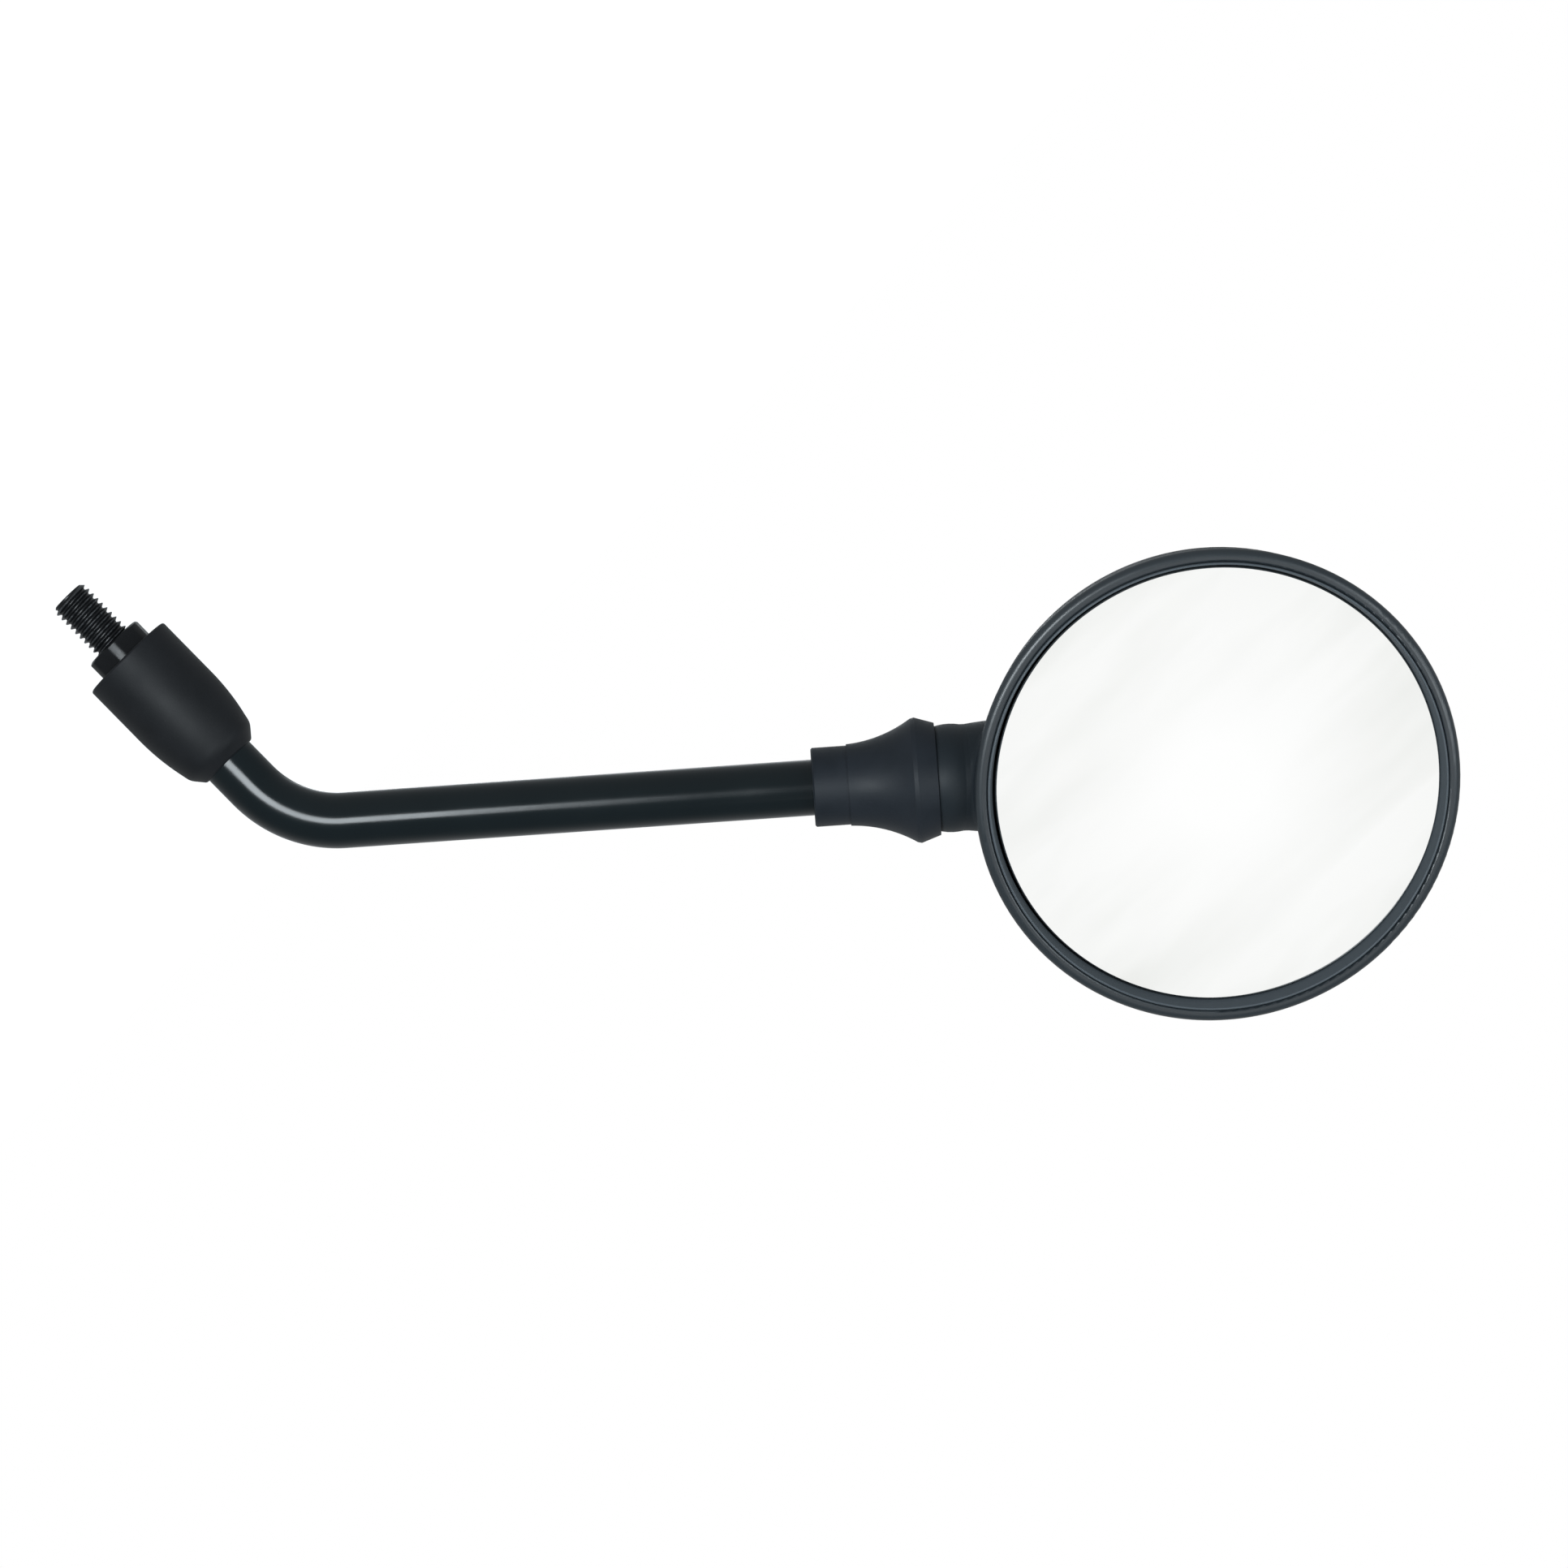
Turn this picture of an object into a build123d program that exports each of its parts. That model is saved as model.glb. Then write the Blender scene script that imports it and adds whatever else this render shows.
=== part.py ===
from build123d import *
from math import cos, radians, sin, sqrt, tan
import os

# Round motorcycle mirror as it stands on the bike, in millimetres, +Z up.
# The origin is on the stud's axis at the lock nut's face, which seats on the handlebar perch.
# The mirror faces -Y, towards the rider, and the stem leans to -X: this is the left-hand one.

# Stud and lock nut, an M8 thread
stud_d = 8.0
stud_free = 12.5        # thread standing out of the nut
stud_chamfer = 0.8
thread_mean_d = 7.19    # mean diameter of the thread, where the nut engages it
nut_across_flats = 12.0
nut_height = 6.5
nut_chamfer = 0.5
nut_turn = 3.5          # degrees that the nut's corner is turned from the mirror's side
nut_to_tube = 2.5       # thread left bare between the nut and the tube
shank_grip = 18.0       # length of the stud and of the ball's shank inside the tube

# Stem tube, bent once
tube_od = 10.8
bend_angle = 49.5
bend_radius = 22.7
bend_height = 49.1      # height of the bend's corner above the nut's face
stem_reach = 127.7      # from the bend's corner to the ball's centre

# Lower rubber boot, which slides on the tube
base_boot_start = 3.95  # height of its open end
base_boot_length = 28.1
base_boot_r = 9.65
base_boot_straight = 18.25
base_boot_taper = 12.0  # degrees
base_boot_nose = 2.5    # length of its rounded end
nose_cover = 0.6        # thickness of the rubber at that end
slide_clear = 0.05
nut_clear = 0.45        # between the nut's corners and the boot
boot_slide_down = 3.9   # to the position where it hides the nut

# Ball joint
ball_r = 7.0
ball_neck_r = 3.4
joint_clear = 0.06      # between the ball, the seat ring, the cup and the seat
seat_ring_t = 1.13
socket_wall = 2.25
tube_back = 10.6        # from the ball's centre back to the tube's end
tilt_limit = 15.0       # each way from straight, for both tilts
mouth_back = 7.5        # from the ball's centre back to the neck's end face
mouth_clear = 0.4
ring_from, ring_to = 1.7, 4.6
cup_front, cup_back = 0.9, 8.2
washer_t = 1.0
spring_wire = 1.5
spring_mean_r = 5.3
spring_turns = 3.0
bore_end = 17.5         # from the ball's centre to the end of the bore in the head

# Flared joint boot: distances back from the ball's centre
lip_back = 2.6
lip_t = 0.5
lip_clear = 0.2
ridge_back = 6.4
ridge_r = 12.15
ridge_inner_r = 10.6
flare_mid_back, flare_mid_r = 13.5, 9.0
collar_back = 19.8
collar_flare_r = 7.9
collar_r = 7.65
collar_end_back = 26.7
cavity_back = 17.5

# Head: its rest pose at the ball, and its place from the ball's centre
rest_tilt, rest_swing, rest_spin = 1.4, 4.3, 15.5
rim_to_ball = 3.15      # from the ball's centre to the rim's side
neck_r = 10.3
neck_root_r = 11.0
neck_root_from, neck_root_to = 3.0, 12.0
neck_tip_r = 6.5        # where the neck ends inside the dome
neck_tip_short = 10.0   # from the neck's end to the mirror's axis
neck_fillet = 1.5
neck_wall = 2.0         # beyond the bore, where the neck runs into the dome
neck_hollow = 18.5      # length of the hollow beyond the bore
bore_cover = 1.35       # between the bore and the ledge under the glass pad
rim_r = 47.0
rim_wall = 2.3
rim_front = 1.5
rim_outer_round = 1.4
rim_inner_round = 0.45
side_draft = 12.0       # degrees
side_depth = 5.0        # from the rim's widest plane to the centre of the shoulder's rounding
shoulder_r = 9.0
head_depth = 25.0
shell_t = 2.4
rib_count = 12
rib_t = 1.4
rib_depth = 6.0

# Glass, pad and bezel: heights are in front of the rim's widest plane
glass_t = 2.0
glass_edge = -1.6       # height of the glass's front edge
glass_curve = 1200.0
glass_clear = 0.45      # between the glass and the bezel, on each side
glass_touch = 0.02      # what is left of it where the glass lies nearest to the bezel
pad_t = 1.0
pad_width = 4.7
bezel_front = 1.7
bezel_crest = 0.45      # width of its front
bezel_slope = 0.75      # width of its sloping inside, which runs down to the glass
bezel_gap = 0.1

# Spring bracket and its screws
bracket_t = 1.5
foot_clear = 1.2        # from its foot's front face to the ledge under the glass pad
flange_clear = 0.4      # between its round end and the hollow in the neck
foot_length = 12.5
foot_half_width = 14.0
screw_spread = 10.0
screw_reach = 7.5       # from the bracket's face to the screws
screw_d = 2.9
screw_length = 9.5
screw_head_d = 5.6
screw_head_h = 1.8
boss_r = 3.2

# Sizes that follow from those above
stud_r = stud_d / 2
tube_r = tube_od / 2
tube_start = nut_height + nut_to_tube
ring_inner_r = ball_r + joint_clear
ring_outer_r = ring_inner_r + seat_ring_t
seat_r = ring_outer_r + joint_clear
socket_r = seat_r + socket_wall
lip_r = sqrt(socket_r**2 - lip_back**2) + lip_clear
full_tilt = radians(sqrt(2) * tilt_limit)
draft = radians(side_draft)
shoulder_centre_r = rim_r - shoulder_r / cos(draft) - side_depth * tan(draft)
pocket_r = rim_r - rim_wall
bezel_r = pocket_r - bezel_gap
bezel_inner_r = bezel_r - bezel_crest - bezel_slope
glass_r = bezel_inner_r - glass_clear
glass_shift = glass_clear - glass_touch      # away from the neck
pad_inner_r = glass_r - pad_width
ledge = glass_edge - glass_t - pad_t
glass_centre = glass_edge - sqrt(glass_curve**2 - glass_r**2)
head_reach = rim_r + rim_to_ball             # from the ball along the neck to the mirror's axis
head_forward = seat_r + bore_cover - ledge   # from the neck's axis to the rim's widest plane
bracket_front = head_forward + ledge - foot_clear
neck_tip = head_reach - neck_tip_short

# Frames: along the stem from the bend's corner, and the chain of turns at the ball
stem_dir = Vector(-sin(radians(bend_angle)), 0, cos(radians(bend_angle)))
corner = Vector(0, 0, bend_height)
ball_centre = corner + stem_dir * stem_reach
stem_frame = Plane(origin=ball_centre, x_dir=stem_dir, z_dir=stem_dir.cross(Vector(0, 1, 0))).location
tilt_frame = stem_frame * Rot(0, rest_tilt, 0)
swing_frame = tilt_frame * Rot(0, 0, rest_swing)
head_frame = swing_frame * Rot(rest_spin, 0, 0)


# Turned shapes
def outline(points):
    """Face with the given (x, y) corners, each with an optional rounding radius."""
    corners = []
    for i, point in enumerate(points):
        here = Vector(*point[:2])
        back = (Vector(*points[i - 1][:2]) - here).normalized()
        ahead = (Vector(*points[(i + 1) % len(points)][:2]) - here).normalized()
        if len(point) == 2:
            corners.append((here, None, here))
            continue
        half = radians(back.get_angle(ahead) / 2)
        inset = point[2] / tan(half)
        middle = here + (back + ahead).normalized() * (point[2] / sin(half) - point[2])
        corners.append((here + back * inset, middle, here + ahead * inset))
    edges = []
    for i, (start, middle, end) in enumerate(corners):
        if middle is not None:
            edges.append(ThreePointArc(start, middle, end))
        following = corners[(i + 1) % len(corners)][0]
        if (following - end).length > 1e-6:
            edges.append(Line(end, following))
    return make_face(edges)


def turn(face):
    """Solid of revolution about Z of a face drawn as (radius, height)."""
    return revolve(Plane.XZ * face, Axis.Z)


def on_neck(shape):
    """From the Z axis to the neck's axis: heights become distances from the ball towards the head."""
    return Rot(0, 90, 0) * shape


def on_face(shape):
    """From the Z axis to the mirror's axis: heights become heights in front of the rim's widest plane."""
    return Pos(head_reach, -head_forward, 0) * Rot(90, 0, 0) * shape


# Stud, nut, tube and lower boot
def threaded_stud():
    tip = -stud_free
    return turn(outline([
        (0, tip),
        (stud_r - stud_chamfer, tip),
        (stud_r, tip + stud_chamfer),
        (stud_r, 0),
        (thread_mean_d / 2, 0),
        (thread_mean_d / 2, nut_height),
        (stud_r, nut_height),
        (stud_r, tube_start + shank_grip),
        (0, tube_start + shank_grip),
    ]))


def lock_nut():
    corner_r = nut_across_flats / sqrt(3)
    hexagon = extrude(RegularPolygon(corner_r, 6), nut_height)
    chamfers = turn(outline([
        (0, 0),
        (nut_across_flats / 2, 0),
        (corner_r, nut_chamfer),
        (corner_r, nut_height - nut_chamfer),
        (nut_across_flats / 2, nut_height),
        (0, nut_height),
    ]))
    bore = extrude(Circle(thread_mean_d / 2), nut_height)
    return Rot(0, 0, 30 + nut_turn) * (hexagon & chamfers) - bore


def stem_tube():
    tangent = bend_radius * tan(radians(bend_angle / 2))
    start = Vector(0, 0, tube_start)
    bend_start = corner - Vector(0, 0, tangent)
    bend_end = corner + stem_dir * tangent
    end = ball_centre - stem_dir * tube_back
    half = radians(bend_angle / 2)
    bend_middle = bend_start + Vector(-bend_radius * (1 - cos(half)), 0, bend_radius * sin(half))
    path = Wire([
        Line(start, bend_start),
        ThreePointArc(bend_start, bend_middle, bend_end),
        Line(bend_end, end),
    ])
    section = Circle(tube_r) - Circle(stud_r)
    return sweep(Pos(start) * section, path)


def base_boot():
    start = base_boot_start
    end = start + base_boot_length
    cavity_end = nut_height + boot_slide_down + 2.5
    cavity_r = nut_across_flats / sqrt(3) + nut_clear
    grip_r = tube_r + slide_clear
    bend = start + base_boot_straight
    taper = radians(base_boot_taper)
    nose_start = end - base_boot_nose
    nose_side_r = base_boot_r - (nose_start - bend) * tan(taper)
    bend_arc = 0.67 * (nose_start - bend) / tan(taper / 2)
    return turn(outline([
        (cavity_r, start, 0.3),
        (base_boot_r, start, 0.5),
        (base_boot_r, bend, bend_arc),
        (nose_side_r, nose_start, 3.5),
        (tube_r + nose_cover, end, 0.6),
        (grip_r, end, 0.2),
        (grip_r, cavity_end + 2.0, 0.5),
        (cavity_r, cavity_end, 0.5),
    ]))


# Ball pin and joint boot: heights are distances back from the ball's centre
def along_stem_back(shape):
    return stem_frame * Rot(0, -90, 0) * shape


def ball_pin():
    shank = turn(outline([
        (0, 0),
        (ball_neck_r, 0),
        (ball_neck_r, tube_back),
        (stud_r, tube_back),
        (stud_r, tube_back + shank_grip),
        (0, tube_back + shank_grip),
    ]))
    return along_stem_back(Sphere(ball_r) + shank)


def joint_boot():
    flare_end = ridge_back + 0.8
    flare_end_r = ridge_r - 0.2
    points = [
        (tube_r, collar_end_back),
        (collar_r - 0.3, collar_end_back),
        (collar_r, collar_end_back - 0.3),
        (collar_r, collar_back),
        (collar_flare_r, collar_back),
    ]
    edges = [Line(a, b) for a, b in zip(points, points[1:])]
    edges.append(ThreePointArc(points[-1], (flare_mid_r, flare_mid_back), (flare_end_r, flare_end)))
    rest = [
        (flare_end_r, flare_end),
        (ridge_r, ridge_back),
        (lip_r + lip_t, lip_back),
        (lip_r, lip_back),
        (ridge_inner_r, ridge_back),
        (tube_r, cavity_back),
        points[0],
    ]
    edges += [Line(a, b) for a, b in zip(rest, rest[1:])]
    return along_stem_back(turn(make_face(edges)))


# Pieces inside the ball joint, in the head's own directions
def seat_ring():
    zone = on_neck(turn(outline([(0, -ring_to), (ring_outer_r, -ring_to), (ring_outer_r, -ring_from), (0, -ring_from)])))
    return zone & (Sphere(ring_outer_r) - Sphere(ring_inner_r))


def ball_cup():
    body = turn(outline([
        (0, cup_front),
        (seat_r - joint_clear, cup_front),
        (seat_r - joint_clear, cup_back, 0.6),
        (0, cup_back),
    ]))
    return on_neck(body - Sphere(ring_inner_r))


def thrust_washer():
    outer = spring_mean_r + spring_wire
    inner = spring_mean_r - spring_wire
    return on_neck(Pos(0, 0, cup_back) * extrude(Circle(outer) - Circle(inner), washer_t))


def joint_spring():
    start = cup_back + washer_t + spring_wire / 2
    height = bore_end - spring_wire / 2 - start
    helix = Helix(pitch=height / spring_turns, height=height, radius=spring_mean_r)
    wire = Plane(origin=helix @ 0, z_dir=helix % 0) * Circle(spring_wire / 2)
    return on_neck(Pos(0, 0, start) * sweep(wire, helix))


# Housing: a turned dome with the neck grown out of its side
def dome_face(inset, front):
    """Half section of the dome, inset by a wall and closed at a front height."""
    shoulder = Vector(shoulder_centre_r, -side_depth)
    depth = head_depth - side_depth
    cap_r = (shoulder.X**2 + depth**2 - shoulder_r**2) / (2 * (depth - shoulder_r))
    cap_height = cap_r - head_depth
    meet = Vector(0, -1).get_angle(shoulder - Vector(0, cap_height))

    # The drafted side leaves the shoulder's rounding without a corner
    side = shoulder + Vector(cos(draft), -sin(draft)) * (shoulder_r - inset)
    top = (side.X + (front - side.Y) * tan(draft), front)
    return make_face([
        CenterArc((0, cap_height), cap_r - inset, -90, meet),
        CenterArc(shoulder, shoulder_r - inset, meet - 90, 90 - meet - side_draft),
        Line(side, top),
        Line(top, (0, front)),
        Line((0, front), (0, -head_depth + inset)),
    ])


def neck_r_at(along):
    """Radius of the neck where it tapers into the dome."""
    return neck_root_r + (neck_tip_r - neck_root_r) * (along - neck_root_to) / (neck_tip - neck_root_to)


def neck_outside():
    """Neck with a ball-shaped end for the boot's lip to ride on, and a barrel-shaped root."""
    end_r = sqrt(socket_r**2 - mouth_back**2)
    join = sqrt(socket_r**2 - neck_r**2)
    root = (neck_r, neck_root_from)
    tip = (neck_tip_r, neck_tip)
    mouth = (end_r, -mouth_back)
    return on_neck(turn(make_face([
        ThreePointArc(mouth, (socket_r, 0), (neck_r, join)),
        Line((neck_r, join), root),
        ThreePointArc(root, (neck_root_r, neck_root_to), tip),
        Line(tip, (0, neck_tip)),
        Line((0, neck_tip), (0, -mouth_back)),
        Line((0, -mouth_back), mouth),
    ])))


def rear_housing():
    # The side runs past the rim while the neck's root is rounded, and is then cut off
    spare = 2 * neck_fillet
    dome = on_face(turn(dome_face(0, spare)))
    neck = neck_outside()
    body = dome + neck
    root = new_edges(dome, neck, combined=body)
    body = fillet(root, neck_fillet) - on_face(extrude(Circle(rim_r + 2 * spare), 2 * spare))
    rim = on_face(turn(outline([
        (pocket_r, 0),
        (rim_r, 0),
        (rim_r, rim_front, rim_outer_round),
        (pocket_r, rim_front, rim_inner_round),
    ])))
    hollow = on_face(turn(dome_face(shell_t, ledge)))
    pocket = on_face(Pos(0, 0, ledge) * extrude(Circle(pocket_r), rim_front - ledge))
    hollow_end = bore_end + neck_hollow
    behind_bore = on_neck(turn(outline([
        (0, bore_end),
        (neck_r_at(bore_end) - neck_wall, bore_end),
        (neck_r_at(hollow_end) - neck_wall, hollow_end),
        (0, hollow_end),
    ])))
    body = body + rim - pocket - hollow - behind_bore

    # Ribs that carry the glass pad, the bosses and the inner end of the bore
    inside = []
    for i in range(rib_count):
        rib = Pos((pad_inner_r + pocket_r) / 2, 0, ledge - rib_depth / 2) * Box(pocket_r - pad_inner_r, rib_t, rib_depth)
        inside.append(on_face(Rot(0, 0, i * 360 / rib_count) * rib))
    for side in (-1, 1):
        foot = bracket_t - bracket_front
        boss = Pos(bore_end + screw_reach, foot, side * screw_spread) * Rot(-90, 0, 0)
        inside.append(boss * extrude(Circle(boss_r), head_depth))
    tube = on_neck(extrude(Circle(seat_r + socket_wall - 0.6), bore_end))
    front = Pos(bore_end / 2, head_depth / 2 - head_forward - ledge, 0) * Box(bore_end, head_depth, 4 * socket_r)
    inside.append(tube & front)
    room = on_face(turn(dome_face(shell_t / 2, ledge)))
    for piece in inside:
        body = body + (piece & room)

    # Seat for the ball, the mouth that lets it tilt, and the screw holes
    bore = on_neck(extrude(Circle(seat_r), bore_end)) + Sphere(seat_r)
    mouth_r = mouth_back * tan(full_tilt) + ball_neck_r / cos(full_tilt) + mouth_clear
    slope = tan(full_tilt) + 0.04
    mouth = on_neck(turn(outline([
        (0, -mouth_back - 2),
        (mouth_r + 2 * slope, -mouth_back - 2),
        (mouth_r - 4 * slope, 4 - mouth_back),
        (0, 4 - mouth_back),
    ])))
    return body - bore - mouth - screw_shanks()


# Glass, pad and bezel
def glass_ball(r):
    """Ball about the centre of the glass's curve."""
    return Pos(0, 0, glass_centre) * Sphere(r)


def ring_between(inner_r, outer_r, low, high):
    face = Circle(outer_r) - Circle(inner_r) if inner_r else Circle(outer_r)
    return Pos(0, 0, low) * extrude(face, high - low)


def mirror_glass():
    disc = ring_between(0, glass_r, ledge, rim_front + glass_t)
    disc = (disc & glass_ball(glass_curve)) - glass_ball(glass_curve - glass_t)
    return on_face(Pos(glass_shift, 0, 0) * disc)


def glass_pad():
    ring = ring_between(pad_inner_r, glass_r, ledge, glass_edge)
    return on_face(Pos(glass_shift, 0, 0) * (ring & glass_ball(glass_curve - glass_t)))


def bezel_ring():
    return on_face(turn(outline([
        (bezel_inner_r, ledge),
        (bezel_r, ledge),
        (bezel_r, bezel_front, 0.25),
        (bezel_r - bezel_crest, bezel_front, 0.15),
        (bezel_inner_r, glass_edge),
    ])))


# Bracket and screws
def spring_bracket():
    foot_back = bracket_t - bracket_front
    flange_r = neck_r_at(bore_end + bracket_t) - neck_wall - flange_clear
    flange = Pos(bore_end + bracket_t / 2, -bracket_front / 2, 0) * Box(bracket_t, bracket_front, 2 * flange_r)
    flange += on_neck(Pos(0, 0, bore_end) * extrude(Circle(flange_r), bracket_t))
    flange &= Pos(bore_end, flange_r - bracket_front, 0) * Box(4 * bracket_t, 2 * flange_r, 4 * flange_r)
    foot = Pos(bore_end + foot_length / 2, foot_back - bracket_t / 2, 0)
    foot = foot * Box(foot_length, bracket_t, 2 * foot_half_width)
    return flange + foot - screw_shanks()


def screw_place(side):
    """Frame of a screw, its height running forward from the foot's front face."""
    return Pos(bore_end + screw_reach, -bracket_front, side * screw_spread) * Rot(90, 0, 0)


def screw_shanks():
    shank = Pos(0, 0, -screw_length) * extrude(Circle(screw_d / 2), screw_length)
    return screw_place(-1) * shank + screw_place(1) * shank


def bracket_screws():
    screw = turn(outline([
        (0, -screw_length),
        (screw_d / 2, -screw_length),
        (screw_d / 2, 0),
        (screw_head_d / 2, 0),
        (screw_head_d / 2, screw_head_h, 0.8),
        (0, screw_head_h),
    ]))
    return [screw_place(-1) * screw, screw_place(1) * screw]


# Every node, placed in the one frame
nodes = {
    "threaded_stud": threaded_stud(),
    "lock_nut": lock_nut(),
    "stem_tube": stem_tube(),
    "base_boot": base_boot(),
    "ball_pin": ball_pin(),
    "joint_boot": joint_boot(),
    "seat_ring": tilt_frame * seat_ring(),
    "ball_cup": swing_frame * ball_cup(),
    "thrust_washer": swing_frame * thrust_washer(),
    "joint_spring": swing_frame * joint_spring(),
    "rear_housing": head_frame * rear_housing(),
    "spring_bracket": head_frame * spring_bracket(),
    "bracket_screws": Compound(children=[head_frame * s for s in bracket_screws()]),
    "mirror_glass": head_frame * mirror_glass(),
    "glass_pad": head_frame * glass_pad(),
    "bezel_ring": head_frame * bezel_ring(),
}

os.makedirs("parts", exist_ok=True)
for name, shape in nodes.items():
    export_step(shape, f"parts/{name}.step")
print("ball centre", ball_centre)
print("swing axis", (tilt_frame * Pos(0, 0, 1)).position - ball_centre)
print("spin axis", (swing_frame * Pos(1, 0, 0)).position - ball_centre)
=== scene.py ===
from math import cos, pi, radians, sin, sqrt, tan

import bmesh
import bpy
from mathutils import Matrix, Vector


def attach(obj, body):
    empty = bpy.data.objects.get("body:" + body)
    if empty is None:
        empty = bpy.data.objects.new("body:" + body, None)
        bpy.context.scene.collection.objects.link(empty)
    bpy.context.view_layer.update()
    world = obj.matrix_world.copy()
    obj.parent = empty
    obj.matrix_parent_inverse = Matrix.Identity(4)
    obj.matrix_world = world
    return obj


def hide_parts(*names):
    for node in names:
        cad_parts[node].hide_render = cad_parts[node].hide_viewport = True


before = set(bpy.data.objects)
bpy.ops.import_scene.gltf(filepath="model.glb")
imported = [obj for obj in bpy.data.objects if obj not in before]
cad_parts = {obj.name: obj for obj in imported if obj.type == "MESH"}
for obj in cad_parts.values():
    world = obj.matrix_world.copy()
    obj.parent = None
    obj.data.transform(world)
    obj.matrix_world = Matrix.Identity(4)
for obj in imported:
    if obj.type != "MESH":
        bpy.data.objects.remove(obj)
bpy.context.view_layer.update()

# Round motorcycle mirror: detailed pieces, materials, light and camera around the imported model.
# Sizes are in millimetres until a piece is placed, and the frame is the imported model's own.
MM = 0.001

# Sizes shared with the solids
stud_r = 4.0
stud_free = 12.5
stud_chamfer = 0.8
stud_end = 27.0
nut_across_flats = 12.0
nut_height = 6.5
nut_turn = 3.5
tube_start = 9.0
tube_r = 5.4
tube_bore_r = 4.0
bend_angle = 49.5
bend_radius = 22.7
bend_height = 49.1
stem_reach = 127.7
tube_back = 10.6
ball_centre_to_rim_axis = 50.15
head_forward = 14.2
rest_tilt, rest_swing, rest_spin = 1.4, 4.3, 15.5
glass_t = 2.0
glass_edge = -1.6
glass_curve = 1200.0
ledge = -4.6
bezel_r = 44.6
bezel_inner_r = 43.4
bezel_front = 1.7
bezel_crest = 0.45

# Sizes of the visible pieces alone. The engaged thread lies just inside the solids' mean diameter, and
# the glass is 0.15 mm larger in radius than its solid and nearer the middle, for a narrower gap.
thread_pitch = 1.25
thread_depth = 0.67
nut_engaged_r = 3.59
glass_r = 43.1
glass_shift = (0.27, -0.09)

# Frames: the stem leaves the bend in the XZ plane, and the head turns about the ball's centre
stem_dir = Vector((-sin(radians(bend_angle)), 0, cos(radians(bend_angle))))
bend_corner = Vector((0, 0, bend_height))
ball_centre = bend_corner + stem_dir * stem_reach
stem_side = Vector((0, 1, 0))
stem_up = stem_dir.cross(stem_side)


def turned(axis, degrees):
    return Matrix.Rotation(radians(degrees), 4, axis)


def placed(place, x_axis, y_axis, z_axis):
    """Frame at a place, with the three given axes."""
    return Matrix.Translation(place) @ Matrix((x_axis, y_axis, z_axis)).transposed().to_4x4()


stem_frame = placed(ball_centre, stem_dir, stem_side, stem_up)
head_frame = stem_frame @ turned("Y", rest_tilt) @ turned("Z", rest_swing) @ turned("X", rest_spin)
rim_middle = Matrix.Translation((ball_centre_to_rim_axis, -head_forward, 0))
face_frame = head_frame @ rim_middle @ turned("X", 90)
glass_frame = face_frame @ Matrix.Translation((*glass_shift, 0))


# Mesh makers
def rounded(points, steps=6):
    """Closed outline through (radius, height) corners, where a third number rounds that corner."""
    line = []
    for i, point in enumerate(points):
        here = Vector(point[:2])
        if len(point) == 2:
            line.append(tuple(here))
            continue
        back = (Vector(points[i - 1][:2]) - here).normalized()
        ahead = (Vector(points[(i + 1) % len(points)][:2]) - here).normalized()
        half = back.angle(ahead) / 2
        centre = here + (back + ahead).normalized() * (point[2] / sin(half))
        first = here + back * (point[2] / tan(half)) - centre
        last = here + ahead * (point[2] / tan(half)) - centre
        sweep = first.angle_signed(last)
        for step in range(steps + 1):
            part = first.copy()
            part.rotate(Matrix.Rotation(-sweep * step / steps, 2))
            line.append(tuple(centre + part))
    return line


class Rings:
    """Rings of points, each joined by quads to the next and the last to the first."""

    def __init__(self):
        self.verts = []
        self.rings = []

    def add(self, points):
        """Adds a ring, or a single point that closes an end."""
        start = len(self.verts)
        self.verts.extend(points)
        self.rings.append(range(start, len(self.verts)))

    def shape(self):
        """Vertices and faces of the whole."""
        faces = []
        size = max(len(ring) for ring in self.rings)
        for ring, after in zip(self.rings, self.rings[1:] + self.rings[:1]):
            if len(ring) == 1 and len(after) == 1:
                continue
            for i in range(size):
                j = (i + 1) % size
                corners = [
                    ring[i % len(ring)],
                    ring[j % len(ring)],
                    after[j % len(after)],
                    after[i % len(after)],
                ]
                faces.append(list(dict.fromkeys(corners)))
        return self.verts, faces


def even_angles(count):
    return [2 * pi * i / count for i in range(count)]


def around_z(radii, height):
    """Ring of points evenly about Z, one for each radius."""
    angles = even_angles(len(radii))
    return [(r * cos(angle), r * sin(angle), height) for r, angle in zip(radii, angles)]


def lathe(outline, segments):
    """Closed (radius, height) outline turned about Z, with one point where it meets the axis."""
    on_axis = 1e-6
    rings = Rings()
    for r, height in outline:
        rings.add(around_z([r] * (1 if r < on_axis else segments), height))
    return rings.shape()


def add_object(name, data):
    made = bpy.data.objects.new(name, data)
    bpy.context.scene.collection.objects.link(made)
    return made


def add_piece(name, shape, place, body, material, node, sharp=40):
    """Places a shape made in millimetres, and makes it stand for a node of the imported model."""
    verts, faces = shape
    mesh = bpy.data.meshes.new(name)
    mesh.from_pydata([place @ Vector(v) * MM for v in verts], [], faces)
    work = bmesh.new()
    work.from_mesh(mesh)
    bmesh.ops.recalc_face_normals(work, faces=work.faces)
    work.to_mesh(mesh)
    work.free()
    mesh.shade_smooth()
    mesh.set_sharp_from_angle(angle=radians(sharp))
    mesh.materials.append(material)
    piece = add_object(name, mesh)
    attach(piece, body)
    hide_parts(node)
    return piece


# Node helpers for the materials, the background and the floor, and two spans that they often map:
# all of a factor, and where most of a noise lies
whole = (0, 1)
usual_noise = (0.3, 0.7)


def maths(tree, operation, *values):
    """Result of a maths node on sockets and plain numbers."""
    node = tree.nodes.new("ShaderNodeMath")
    node.operation = operation
    for socket, value in zip(node.inputs, values):
        if isinstance(value, bpy.types.NodeSocket):
            tree.links.new(value, socket)
        else:
            socket.default_value = value
    return node.outputs["Value"]


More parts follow.
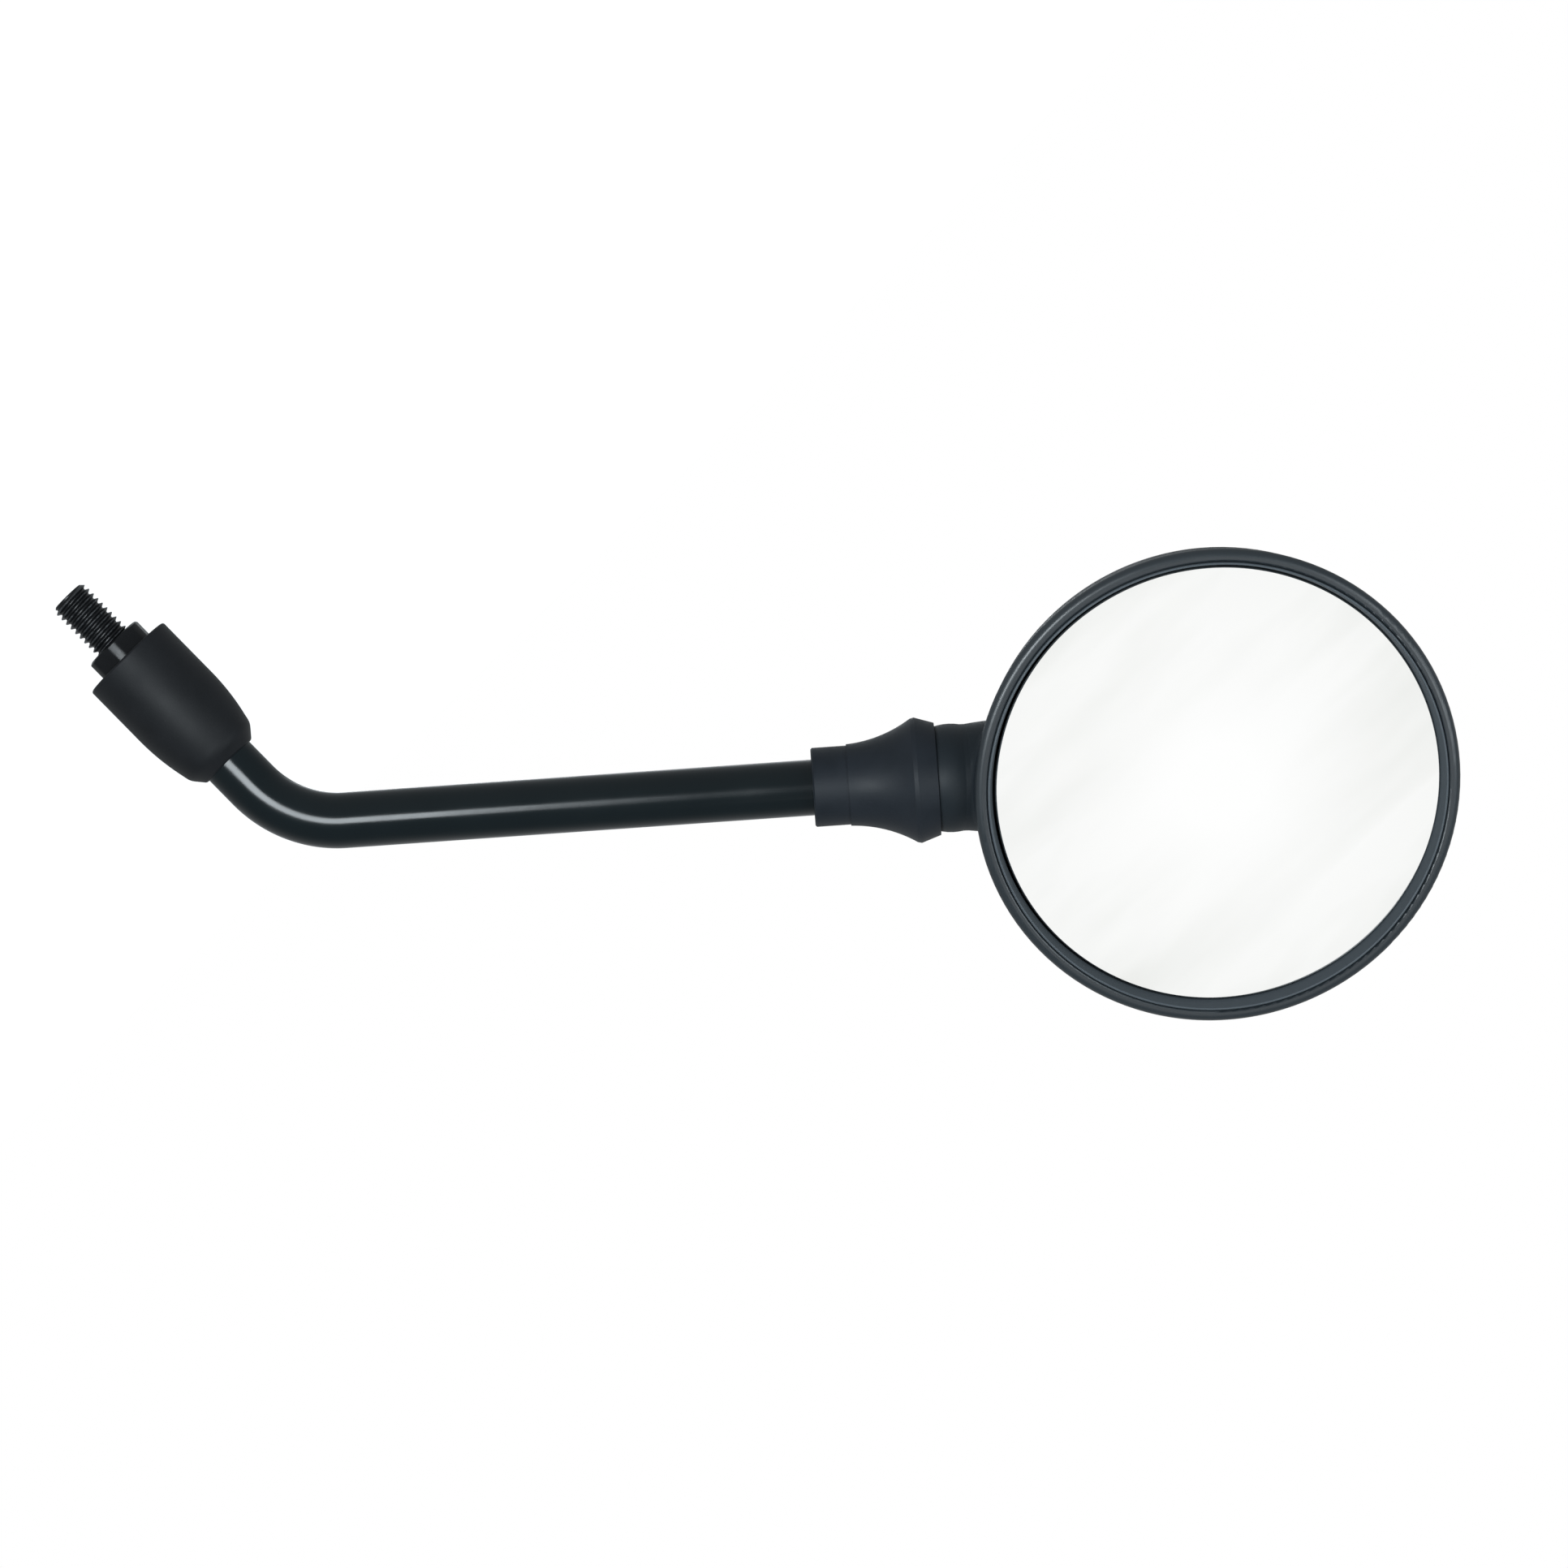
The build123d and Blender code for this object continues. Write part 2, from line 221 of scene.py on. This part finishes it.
def level_by_ray(tree, levels):
    """The level given for each kind of ray, and 0 for all other rays."""
    rays = tree.nodes.new("ShaderNodeLightPath")
    seen = 0.0
    for ray, level in levels.items():
        seen = maths(tree, "MAXIMUM", seen, maths(tree, "MULTIPLY", rays.outputs[ray], level))
    return seen


class Look:
    """A material's node tree with the few kinds of node that the looks share."""

    def __init__(self, name, colour, roughness, metallic=0.0, specular=0.5):
        self.material = bpy.data.materials.new(name)
        self.material.use_nodes = True
        self.tree = self.material.node_tree
        self.shader = self.tree.nodes["Principled BSDF"]
        self.set("Base Color", (*colour, 1))
        self.set("Roughness", roughness)
        self.set("Metallic", metallic)
        self.set("Specular IOR Level", specular)
        self.place = self.node("ShaderNodeTexCoord").outputs["Object"]

    def node(self, kind, **settings):
        node = self.tree.nodes.new(kind)
        for key, value in settings.items():
            setattr(node, key, value)
        return node

    def set(self, socket, value):
        self.shader.inputs[socket].default_value = value

    def link(self, output, socket):
        self.tree.links.new(output, self.shader.inputs[socket])

    def noise(self, size_mm, detail=3.0, stretch=(1, 1, 1)):
        """Noise from 0 to 1 with features of about the given size."""
        mapping = self.node("ShaderNodeMapping")
        mapping.inputs["Scale"].default_value = stretch
        self.tree.links.new(self.place, mapping.inputs["Vector"])
        noise = self.node("ShaderNodeTexNoise")
        noise.inputs["Scale"].default_value = 1 / (size_mm * MM)
        noise.inputs["Detail"].default_value = detail
        self.tree.links.new(mapping.outputs["Vector"], noise.inputs["Vector"])
        return noise.outputs["Fac"]

    def remap(self, value, span, result):
        """Carries a span of values over to a span of results, and holds the ends."""
        node = self.node("ShaderNodeMapRange")
        sockets = ("From Min", "From Max", "To Min", "To Max")
        for socket, number in zip(sockets, (*span, *result)):
            node.inputs[socket].default_value = number
        self.tree.links.new(value, node.inputs["Value"])
        return node.outputs["Result"]

    def height_in(self, frame_mm, low, high):
        """From 0 to 1 between two heights above a frame's own XY plane, in millimetres."""
        axis = frame_mm.col[2].xyz
        start = axis.dot(frame_mm.translation)
        along = self.node("ShaderNodeVectorMath", operation="DOT_PRODUCT")
        along.inputs[1].default_value = axis
        self.tree.links.new(self.place, along.inputs[0])
        return self.remap(along.outputs["Value"], ((start + low) * MM, (start + high) * MM), whole)

    def away_from(self, point_mm, near, far):
        """From 0 to 1 between two distances from a point, in millimetres."""
        gap = self.node("ShaderNodeVectorMath", operation="DISTANCE")
        gap.inputs[1].default_value = point_mm * MM
        self.tree.links.new(self.place, gap.inputs[0])
        return self.remap(gap.outputs["Value"], (near * MM, far * MM), whole)

    def away_from_z(self, near, far):
        """From 0 to 1 between two distances from the Z axis, in millimetres."""
        split = self.node("ShaderNodeSeparateXYZ")
        self.tree.links.new(self.place, split.inputs["Vector"])
        flat = self.node("ShaderNodeCombineXYZ")
        for axis in ("X", "Y"):
            self.tree.links.new(split.outputs[axis], flat.inputs[axis])
        length = self.node("ShaderNodeVectorMath", operation="LENGTH")
        self.tree.links.new(flat.outputs["Vector"], length.inputs[0])
        return self.remap(length.outputs["Value"], (near * MM, far * MM), whole)

    def multiply(self, a, b):
        return maths(self.tree, "MULTIPLY", a, b)

    def colours(self, factor, first, second):
        """Base colour from the first to the second; a mix node's colour sockets go by position."""
        node = self.node("ShaderNodeMix", data_type="RGBA")
        self.tree.links.new(factor, node.inputs["Factor"])
        node.inputs[6].default_value = (*first, 1)
        node.inputs[7].default_value = (*second, 1)
        self.link(node.outputs[2], "Base Color")

    def roughnesses(self, value, span, result):
        self.link(self.remap(value, span, result), "Roughness")

    def bump(self, height, depth_mm, strength):
        node = self.node("ShaderNodeBump")
        node.inputs["Distance"].default_value = depth_mm * MM
        node.inputs["Strength"].default_value = strength
        self.tree.links.new(height, node.inputs["Height"])
        self.link(node.outputs["Normal"], "Normal")


# Materials
def gloss_paint():
    """Baked black paint on the tube, with a slight orange peel."""
    look = Look("gloss_black_paint", (0.004, 0.0077, 0.0094), 0.2, specular=0.3)
    haze = look.noise(14.0, detail=4.0)
    look.colours(haze, (0.003, 0.0062, 0.0078), (0.005, 0.0092, 0.011))
    look.roughnesses(haze, usual_noise, (0.15, 0.21))
    look.bump(look.noise(1.6, detail=2.0), depth_mm=0.012, strength=0.35)
    return look.material


def boot_rubber(name, dark, light, smooth, rough, specular):
    """Moulded rubber: fine grain, with faint bloom and dust in patches."""
    bloom_span = (0.35, 0.7)
    look = Look(name, dark, rough, specular=specular)
    bloom = look.noise(6.0, detail=5.0)
    look.colours(look.remap(bloom, bloom_span, whole), dark, light)
    look.roughnesses(bloom, usual_noise, (smooth, rough))
    look.bump(look.noise(0.28, detail=4.0), depth_mm=0.03, strength=0.5)
    return look.material


def housing_plastic():
    """Moulded black plastic: finely textured on the dome and the neck, smoother on the rim, whose
    colour is also painted lighter for the light that the rim catches.
    """
    rim_foot, rim_top = -0.9, 0.1
    look = Look("textured_black_plastic", (0.014, 0.018, 0.022), 0.5)
    rim = look.height_in(face_frame, rim_foot, rim_top)
    cloud = look.remap(look.noise(9.0), usual_noise, (0.9, 1.1))
    grain = look.multiply(look.noise(0.35), look.remap(rim, whole, (1, 0.1)))
    # Painted light: the rim is coloured lighter than the dome and the neck, standing in for the light
    # that falls on it.
    look.colours(rim, (0.013, 0.018, 0.0225), (0.020, 0.026, 0.031))
    look.link(look.multiply(look.remap(rim, whole, (0.5, 0.35)), cloud), "Roughness")
    look.link(look.remap(rim, whole, (0.22, 0.6)), "Specular IOR Level")
    look.bump(grain, depth_mm=0.015, strength=0.4)
    return look.material


def bezel_plastic():
    """Smooth satin plastic of the ring around the glass, coloured well lighter than the housing as
    painted light for the bright surroundings that its inner slope reflects.
    """
    # Painted reflection: this grey base colour stands in for the bright surroundings that the ring's
    # inner slope reflects.
    look = Look("bezel_plastic_painted_lighter", (0.068, 0.082, 0.094), 0.5, specular=0.45)
    cloud = look.noise(7.0)
    look.colours(cloud, (0.062, 0.076, 0.088), (0.075, 0.089, 0.101))
    look.roughnesses(cloud, usual_noise, (0.47, 0.53))
    return look.material


def black_zinc():
    """Blackened steel, rubbed brighter where the thread's crests stand out; the brightening is partly
    wear and partly a painted highlight along the crests.
    """
    crest_foot = 3.75
    look = Look("black_zinc_steel", (0.007, 0.0075, 0.0085), 0.34, specular=0.3)
    crest = look.away_from_z(crest_foot, stud_r)
    patches = look.remap(look.noise(0.9, detail=4.0), (0.4, 0.65), (0.1, 1))
    # Partly real wear and partly a painted highlight: the crests are coloured far lighter than the
    # steel around them.
    wear_and_painted_highlight = look.multiply(crest, patches)
    look.colours(wear_and_painted_highlight, (0.005, 0.0055, 0.0065), (0.060, 0.062, 0.066))
    look.roughnesses(patches, whole, (0.30, 0.42))
    look.bump(look.noise(0.4), depth_mm=0.01, strength=0.4)
    return look.material


def blacked_nut():
    """The nut's black finish, a little smoother than the thread's."""
    look = Look("blacked_nut", (0.005, 0.0055, 0.0065), 0.3, specular=0.25)
    cloud = look.noise(1.8, detail=4.0)
    look.colours(cloud, (0.004, 0.0045, 0.0055), (0.007, 0.0075, 0.0085))
    look.roughnesses(cloud, usual_noise, (0.24, 0.36))
    look.bump(look.noise(0.5), depth_mm=0.008, strength=0.4)
    return look.material


def silvered_glass():
    """Mirror: silver behind glass, with faint wipe marks and more haze towards its edge, where the
    wipes also grey its colour, partly as painted shade in the reflection.
    """
    clear_r, hazy_shaded_r = 8.0, 44.0
    wipe_stretch = (0.22, 1.0, 1.0)
    look = Look("silvered_glass", (0.95, 0.957, 0.955), 0.015, metallic=1.0)
    wipes = look.remap(look.noise(16.0, stretch=wipe_stretch), (0.42, 0.72), (0.35, 1))
    haze = look.multiply(wipes, look.away_from(glass_frame.translation, clear_r, hazy_shaded_r))
    # Partly real smudges and partly painted shade: the silver greys where wipes lie, more towards the
    # edge, darkening the reflection there.
    look.colours(haze, (0.985, 0.986, 0.986), (0.80, 0.81, 0.79))
    look.roughnesses(haze, whole, (0.012, 0.05))
    return look.material


def bright_steel():
    """Ground and plated steel inside the joint."""
    look = Look("bright_steel", (0.56, 0.56, 0.55), 0.28, metallic=1.0)
    lines = look.noise(0.5, detail=4.0, stretch=(1, 1, 6))
    look.colours(lines, (0.48, 0.48, 0.47), (0.62, 0.62, 0.61))
    look.roughnesses(lines, usual_noise, (0.2, 0.36))
    look.bump(lines, depth_mm=0.004, strength=0.4)
    return look.material


def natural_nylon():
    """Bearing plastic of the seat ring and the ball cup, pale and waxy."""
    look = Look("natural_nylon", (0.72, 0.69, 0.60), 0.4)
    cloud = look.noise(3.0)
    look.set("Subsurface Weight", 0.1)
    look.set("Subsurface Radius", (0.0015, 0.0012, 0.0008))
    look.colours(cloud, (0.68, 0.65, 0.56), (0.76, 0.73, 0.65))
    look.roughnesses(cloud, usual_noise, (0.34, 0.48))
    return look.material


def pad_foam():
    """Closed-cell foam ring behind the glass."""
    cell_mm = 0.5
    look = Look("pad_foam", (0.03, 0.03, 0.032), 0.9)
    cells = look.node("ShaderNodeTexVoronoi")
    cells.inputs["Scale"].default_value = 1 / (cell_mm * MM)
    look.tree.links.new(look.place, cells.inputs["Vector"])
    look.colours(cells.outputs["Distance"], (0.018, 0.018, 0.02), (0.05, 0.05, 0.052))
    look.bump(cells.outputs["Distance"], depth_mm=0.15, strength=0.8)
    return look.material


paint = gloss_paint()
base_rubber = boot_rubber(
    "matte_rubber",
    dark=(0.007, 0.008, 0.0095),
    light=(0.0095, 0.0105, 0.0125),
    smooth=0.50,
    rough=0.60,
    specular=0.22,
)
joint_rubber = boot_rubber(
    "joint_rubber",
    dark=(0.010, 0.0135, 0.0185),
    light=(0.0135, 0.0175, 0.0235),
    smooth=0.46,
    rough=0.56,
    specular=0.25,
)
housing = housing_plastic()
bezel = bezel_plastic()
zinc = black_zinc()
nut_black = blacked_nut()
mirror = silvered_glass()
steel = bright_steel()
nylon = natural_nylon()
foam = pad_foam()


# Stud with its helical thread
def thread_dip(z, angle):
    """How deep the thread's surface lies under its crest: flat crest and root, straight flanks."""
    root_flat = 1 / 4
    crest_flat = 1 / 8
    phase = (z / thread_pitch - angle / (2 * pi)) % 1
    from_root = abs(phase - 0.5) * 2
    flank = (from_root - root_flat) / (1 - crest_flat - root_flat)
    return thread_depth * (1 - min(max(flank, 0), 1))


def threaded_stud():
    segments = 72
    rows_per_turn = 18
    plain_start = 0.25
    plain_end = nut_height + 0.2
    shoulder = nut_height + 0.6
    tip = -stud_free
    rows = int(stud_free / thread_pitch * rows_per_turn)
    rings = Rings()
    rings.add([(0, 0, tip)])
    for row in range(rows + 1):
        z = tip + stud_free * row / rows
        cone_r = stud_r - stud_chamfer + (z - tip)
        radii = [min(stud_r - thread_dip(z, angle), cone_r) for angle in even_angles(segments)]
        rings.add(around_z(radii, z))
    for r, z in (
        (nut_engaged_r, plain_start),
        (nut_engaged_r, plain_end),
        (stud_r, shoulder),
        (stud_r, stud_end),
    ):
        rings.add(around_z([r] * segments, z))
    rings.add([(0, 0, stud_end)])
    return rings.shape()


# Lock nut with its chamfered faces, and its corners turned to a round
def lock_nut():
    points = 144
    flat_r = nut_across_flats / 2
    corner_r = 6.42
    face_r = 5.73
    chamfer_angle = 30
    chamfer_rise = tan(radians(chamfer_angle))
    cut = 0.04
    countersink_r = 4.2
    countersink_depth = 0.6
    thread_gap = 0.01
    bore_r = nut_engaged_r + thread_gap
    side_angle = pi / 3
    first_corner = side_angle / 2 + radians(nut_turn)

    def outline(full_r):
        """(radius, height) corners from the lower bore to the upper, where the side lies at full_r."""
        rise = (full_r - face_r) * chamfer_rise
        lower = [
            (bore_r, countersink_depth),
            (countersink_r, 0),
            (face_r - cut, 0),
            (face_r + cut, cut * chamfer_rise),
            (full_r - cut, rise - cut * chamfer_rise),
            (full_r, rise + cut),
        ]
        return lower + [(r, nut_height - z) for r, z in reversed(lower)]

    directions = []
    outlines = []
    for from_corner in even_angles(points):
        side_r = flat_r / cos(from_corner % side_angle - side_angle / 2)
        angle = from_corner + first_corner
        directions.append((cos(angle), sin(angle)))
        outlines.append(outline(min(side_r, corner_r)))
    rings = Rings()
    for level in zip(*outlines):
        rings.add([(r * x, r * y, z) for (x, y), (r, z) in zip(directions, level)])
    return rings.shape()


# Bent tube, swept along two straight runs and the bend between them
def stem_tube():
    segments = 96
    bend_steps = 40
    tangent = bend_radius * tan(radians(bend_angle / 2))
    bend_from = bend_corner - Vector((0, 0, tangent))
    centre = bend_from - Vector((bend_radius, 0, 0))

    def outward(turn):
        return Vector((cos(radians(turn)), 0, sin(radians(turn))))

    stations = [(Vector((0, 0, tube_start)), 0.0)]
    for step in range(bend_steps + 1):
        turn = bend_angle * step / bend_steps
        stations.append((centre + outward(turn) * bend_radius, turn))
    stations.append((ball_centre - stem_dir * tube_back, bend_angle))
    rings = Rings()
    for r, line in ((tube_r, stations), (tube_bore_r, stations[::-1])):
        for point, turn in line:
            across = outward(turn)
            rings.add([
                point + (across * cos(angle) + stem_side * sin(angle)) * r
                for angle in even_angles(segments)
            ])
    return rings.shape()


# Glass: a slightly domed disc with eased edges
def mirror_glass():
    segments = 192
    steps = 24
    ease = 0.25
    centre = glass_edge - sqrt(glass_curve**2 - glass_r**2)
    radii = [(glass_r - ease) * step / steps for step in range(steps + 1)]

    def face(curve):
        return [(r, centre + sqrt(curve**2 - r**2)) for r in radii]

    front = face(glass_curve)
    back = face(glass_curve - glass_t)
    rim = [(glass_r, front[-1][1] - ease), (glass_r, back[-1][1] + ease)]
    return lathe(front + rim + back[::-1], segments)


# Bezel: a turned ring whose inside slopes down to the glass
def bezel_ring():
    segments = 240
    outer_round = 0.28
    inner_round = 0.2
    foot_round = 0.8
    outline = [
        (bezel_inner_r, ledge),
        (bezel_r, ledge),
        (bezel_r, bezel_front, outer_round),
        (bezel_r - bezel_crest, bezel_front, inner_round),
        (bezel_inner_r, glass_edge, foot_round),
    ]
    return lathe(rounded(outline), segments)


# Pieces that replace their solids
as_made = Matrix()
add_piece(
    "stud_with_thread", threaded_stud(), as_made, "stem", zinc, "threaded_stud", sharp=60
)
add_piece("hex_lock_nut", lock_nut(), as_made, "stem", nut_black, "lock_nut", sharp=20)
add_piece("bent_stem", stem_tube(), as_made, "stem", paint, "stem_tube")
glass_disc = add_piece(
    "glass_disc", mirror_glass(), glass_frame, "head", mirror, "mirror_glass"
)
add_piece("bezel_trim", bezel_ring(), face_frame, "head", bezel, "bezel_ring")

# Solids that already have their shape get their materials
node_looks = {
    "base_boot": base_rubber,
    "joint_boot": joint_rubber,
    "rear_housing": housing,
    "ball_pin": steel,
    "thrust_washer": steel,
    "joint_spring": steel,
    "spring_bracket": steel,
    "bracket_screws": steel,
    "seat_ring": nylon,
    "ball_cup": nylon,
    "glass_pad": foam,
}
for node, material in node_looks.items():
    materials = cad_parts[node].data.materials
    materials.clear()
    materials.append(material)

# Camera: far and straight in front, rolled so that the stud points up and to the left
frame_width = 0.3028
camera_distance = 2.0
middle = Vector((-0.0733, 0, 0.1103))
photo_right = Vector((-0.7133, 0, 0.7009)).normalized()
photo_up = Vector((-photo_right.z, 0, photo_right.x))
towards = Vector((0, -1, 0))


def in_photo(right, up, front):
    """Point given in metres to the right, up and in front of the middle of the photograph."""
    return middle + photo_right * right + photo_up * up + towards * front


camera_data = bpy.data.cameras.new("camera")
camera_data.sensor_width = 36.0
camera_data.lens = camera_data.sensor_width * camera_distance / frame_width
camera = add_object("camera", camera_data)
camera.matrix_world = placed(in_photo(0, 0, camera_distance), photo_right, photo_up, towards)
bpy.context.scene.camera = camera
bpy.context.scene.view_settings.view_transform = "Standard"


# Light: cool soft panels in front of the stem, beside the head and behind it, and a warm pale card
# that fills the mirror
cool = (0.88, 0.955, 1.0)
warm = (1.0, 0.962, 0.93)


def panel(name, place, aim, size, radiance, colour):
    """Rectangular lamp that faces the point it aims at, and that the camera doesn't see."""
    width, height = size
    light = bpy.data.lights.new(name, "AREA")
    light.color = colour
    light.shape = "RECTANGLE"
    light.size = width
    light.size_y = height
    light.energy = radiance * pi * width * height
    lamp = add_object(name, light)
    back = (place - aim).normalized()
    side = photo_up.cross(back).normalized()
    lamp.matrix_world = placed(place, side, back.cross(side), back)
    lamp.visible_camera = False
    return lamp


front_panel = panel(
    "front_panel",
    place=in_photo(-0.22, -0.03, 0.55),
    aim=in_photo(-0.15, 0, 0),
    size=(0.30, 0.20),
    radiance=20.0,
    colour=cool,
)
side_panel = panel(
    "side_panel",
    place=in_photo(0.40, -0.05, 0.36),
    aim=in_photo(0.08, 0, 0),
    size=(0.26, 0.26),
    radiance=4.0,
    colour=cool,
)
back_panel = panel(
    "back_panel",
    place=in_photo(0, 0, -0.7),
    aim=in_photo(0.04, 0, 0),
    size=(0.30, 0.30),
    radiance=15.0,
    colour=cool,
)
back_panel.visible_glossy = False
panel(
    "mirror_card",
    place=in_photo(0.155, -0.215, 0.36),
    aim=in_photo(0.083, 0, 0),
    size=(0.22, 0.24),
    radiance=0.74,
    colour=warm,
)


# Background: white to the eye, paler in reflections of what lies behind, and a dim room for other rays
def studio_world():
    room_colour = (0.84, 0.94, 1.0)
    room_level = 0.32
    behind_from, behind_to = -0.2, 0.6
    behind_level = 0.35
    world = bpy.data.worlds.new("studio")
    world.use_nodes = True
    bpy.context.scene.world = world
    nodes = world.node_tree.nodes
    links = world.node_tree.links
    white = nodes["Background"]
    white.inputs["Color"].default_value = (1, 1, 1, 1)
    white.inputs["Strength"].default_value = 1.0
    room = nodes.new("ShaderNodeBackground")
    room.inputs["Color"].default_value = (*room_colour, 1)
    room.inputs["Strength"].default_value = room_level
    split = nodes.new("ShaderNodeSeparateXYZ")
    links.new(nodes.new("ShaderNodeTexCoord").outputs["Generated"], split.inputs["Vector"])
    behind = nodes.new("ShaderNodeMapRange")
    behind.interpolation_type = "SMOOTHSTEP"
    behind.inputs["From Min"].default_value = behind_from
    behind.inputs["From Max"].default_value = behind_to
    behind.inputs["To Max"].default_value = behind_level
    links.new(split.outputs["Y"], behind.inputs["Value"])
    seen = level_by_ray(world.node_tree, {
        "Is Camera Ray": 1.0,
        "Is Transmission Ray": 1.0,
        "Is Glossy Ray": behind.outputs["Result"],
    })
    mix = nodes.new("ShaderNodeMixShader")
    links.new(seen, mix.inputs["Fac"])
    links.new(room.outputs["Background"], mix.inputs[1])
    links.new(white.outputs["Background"], mix.inputs[2])
    links.new(mix.outputs["Shader"], nodes["World Output"].inputs["Surface"])


studio_world()


# Floor: pale, with a glow that makes it white to the eye and stays faint in reflections
def pale_floor():
    drop = 0.06
    reach = 4.0
    grey = 0.6
    seen_glow = 0.85
    reflected_glow = 0.15
    mesh = bpy.data.meshes.new("floor")
    corners = [(-reach, -reach), (reach, -reach), (reach, reach), (-reach, reach)]
    mesh.from_pydata([(x, y, -drop) for x, y in corners], [], [(0, 1, 2, 3)])
    floor = add_object("floor", mesh)
    look = Look("pale_floor", (grey, grey, grey), 0.9)
    look.set("Emission Color", (1, 1, 1, 1))
    glow = level_by_ray(look.tree, {
        "Is Camera Ray": seen_glow,
        "Is Transmission Ray": seen_glow,
        "Is Glossy Ray": reflected_glow,
    })
    look.link(glow, "Emission Strength")
    mesh.materials.append(look.material)
    return floor


floor = pale_floor()

# The two bright panels are kept off the mirror and the floor, which would throw specks on the bezel
not_lit = bpy.data.collections.new("not_lit_by_bright_panels")
for thing in (glass_disc, floor):
    not_lit.objects.link(thing)
for linked in not_lit.collection_objects:
    linked.light_linking.link_state = "EXCLUDE"
for lamp in (front_panel, side_panel):
    lamp.light_linking.receiver_collection = not_lit
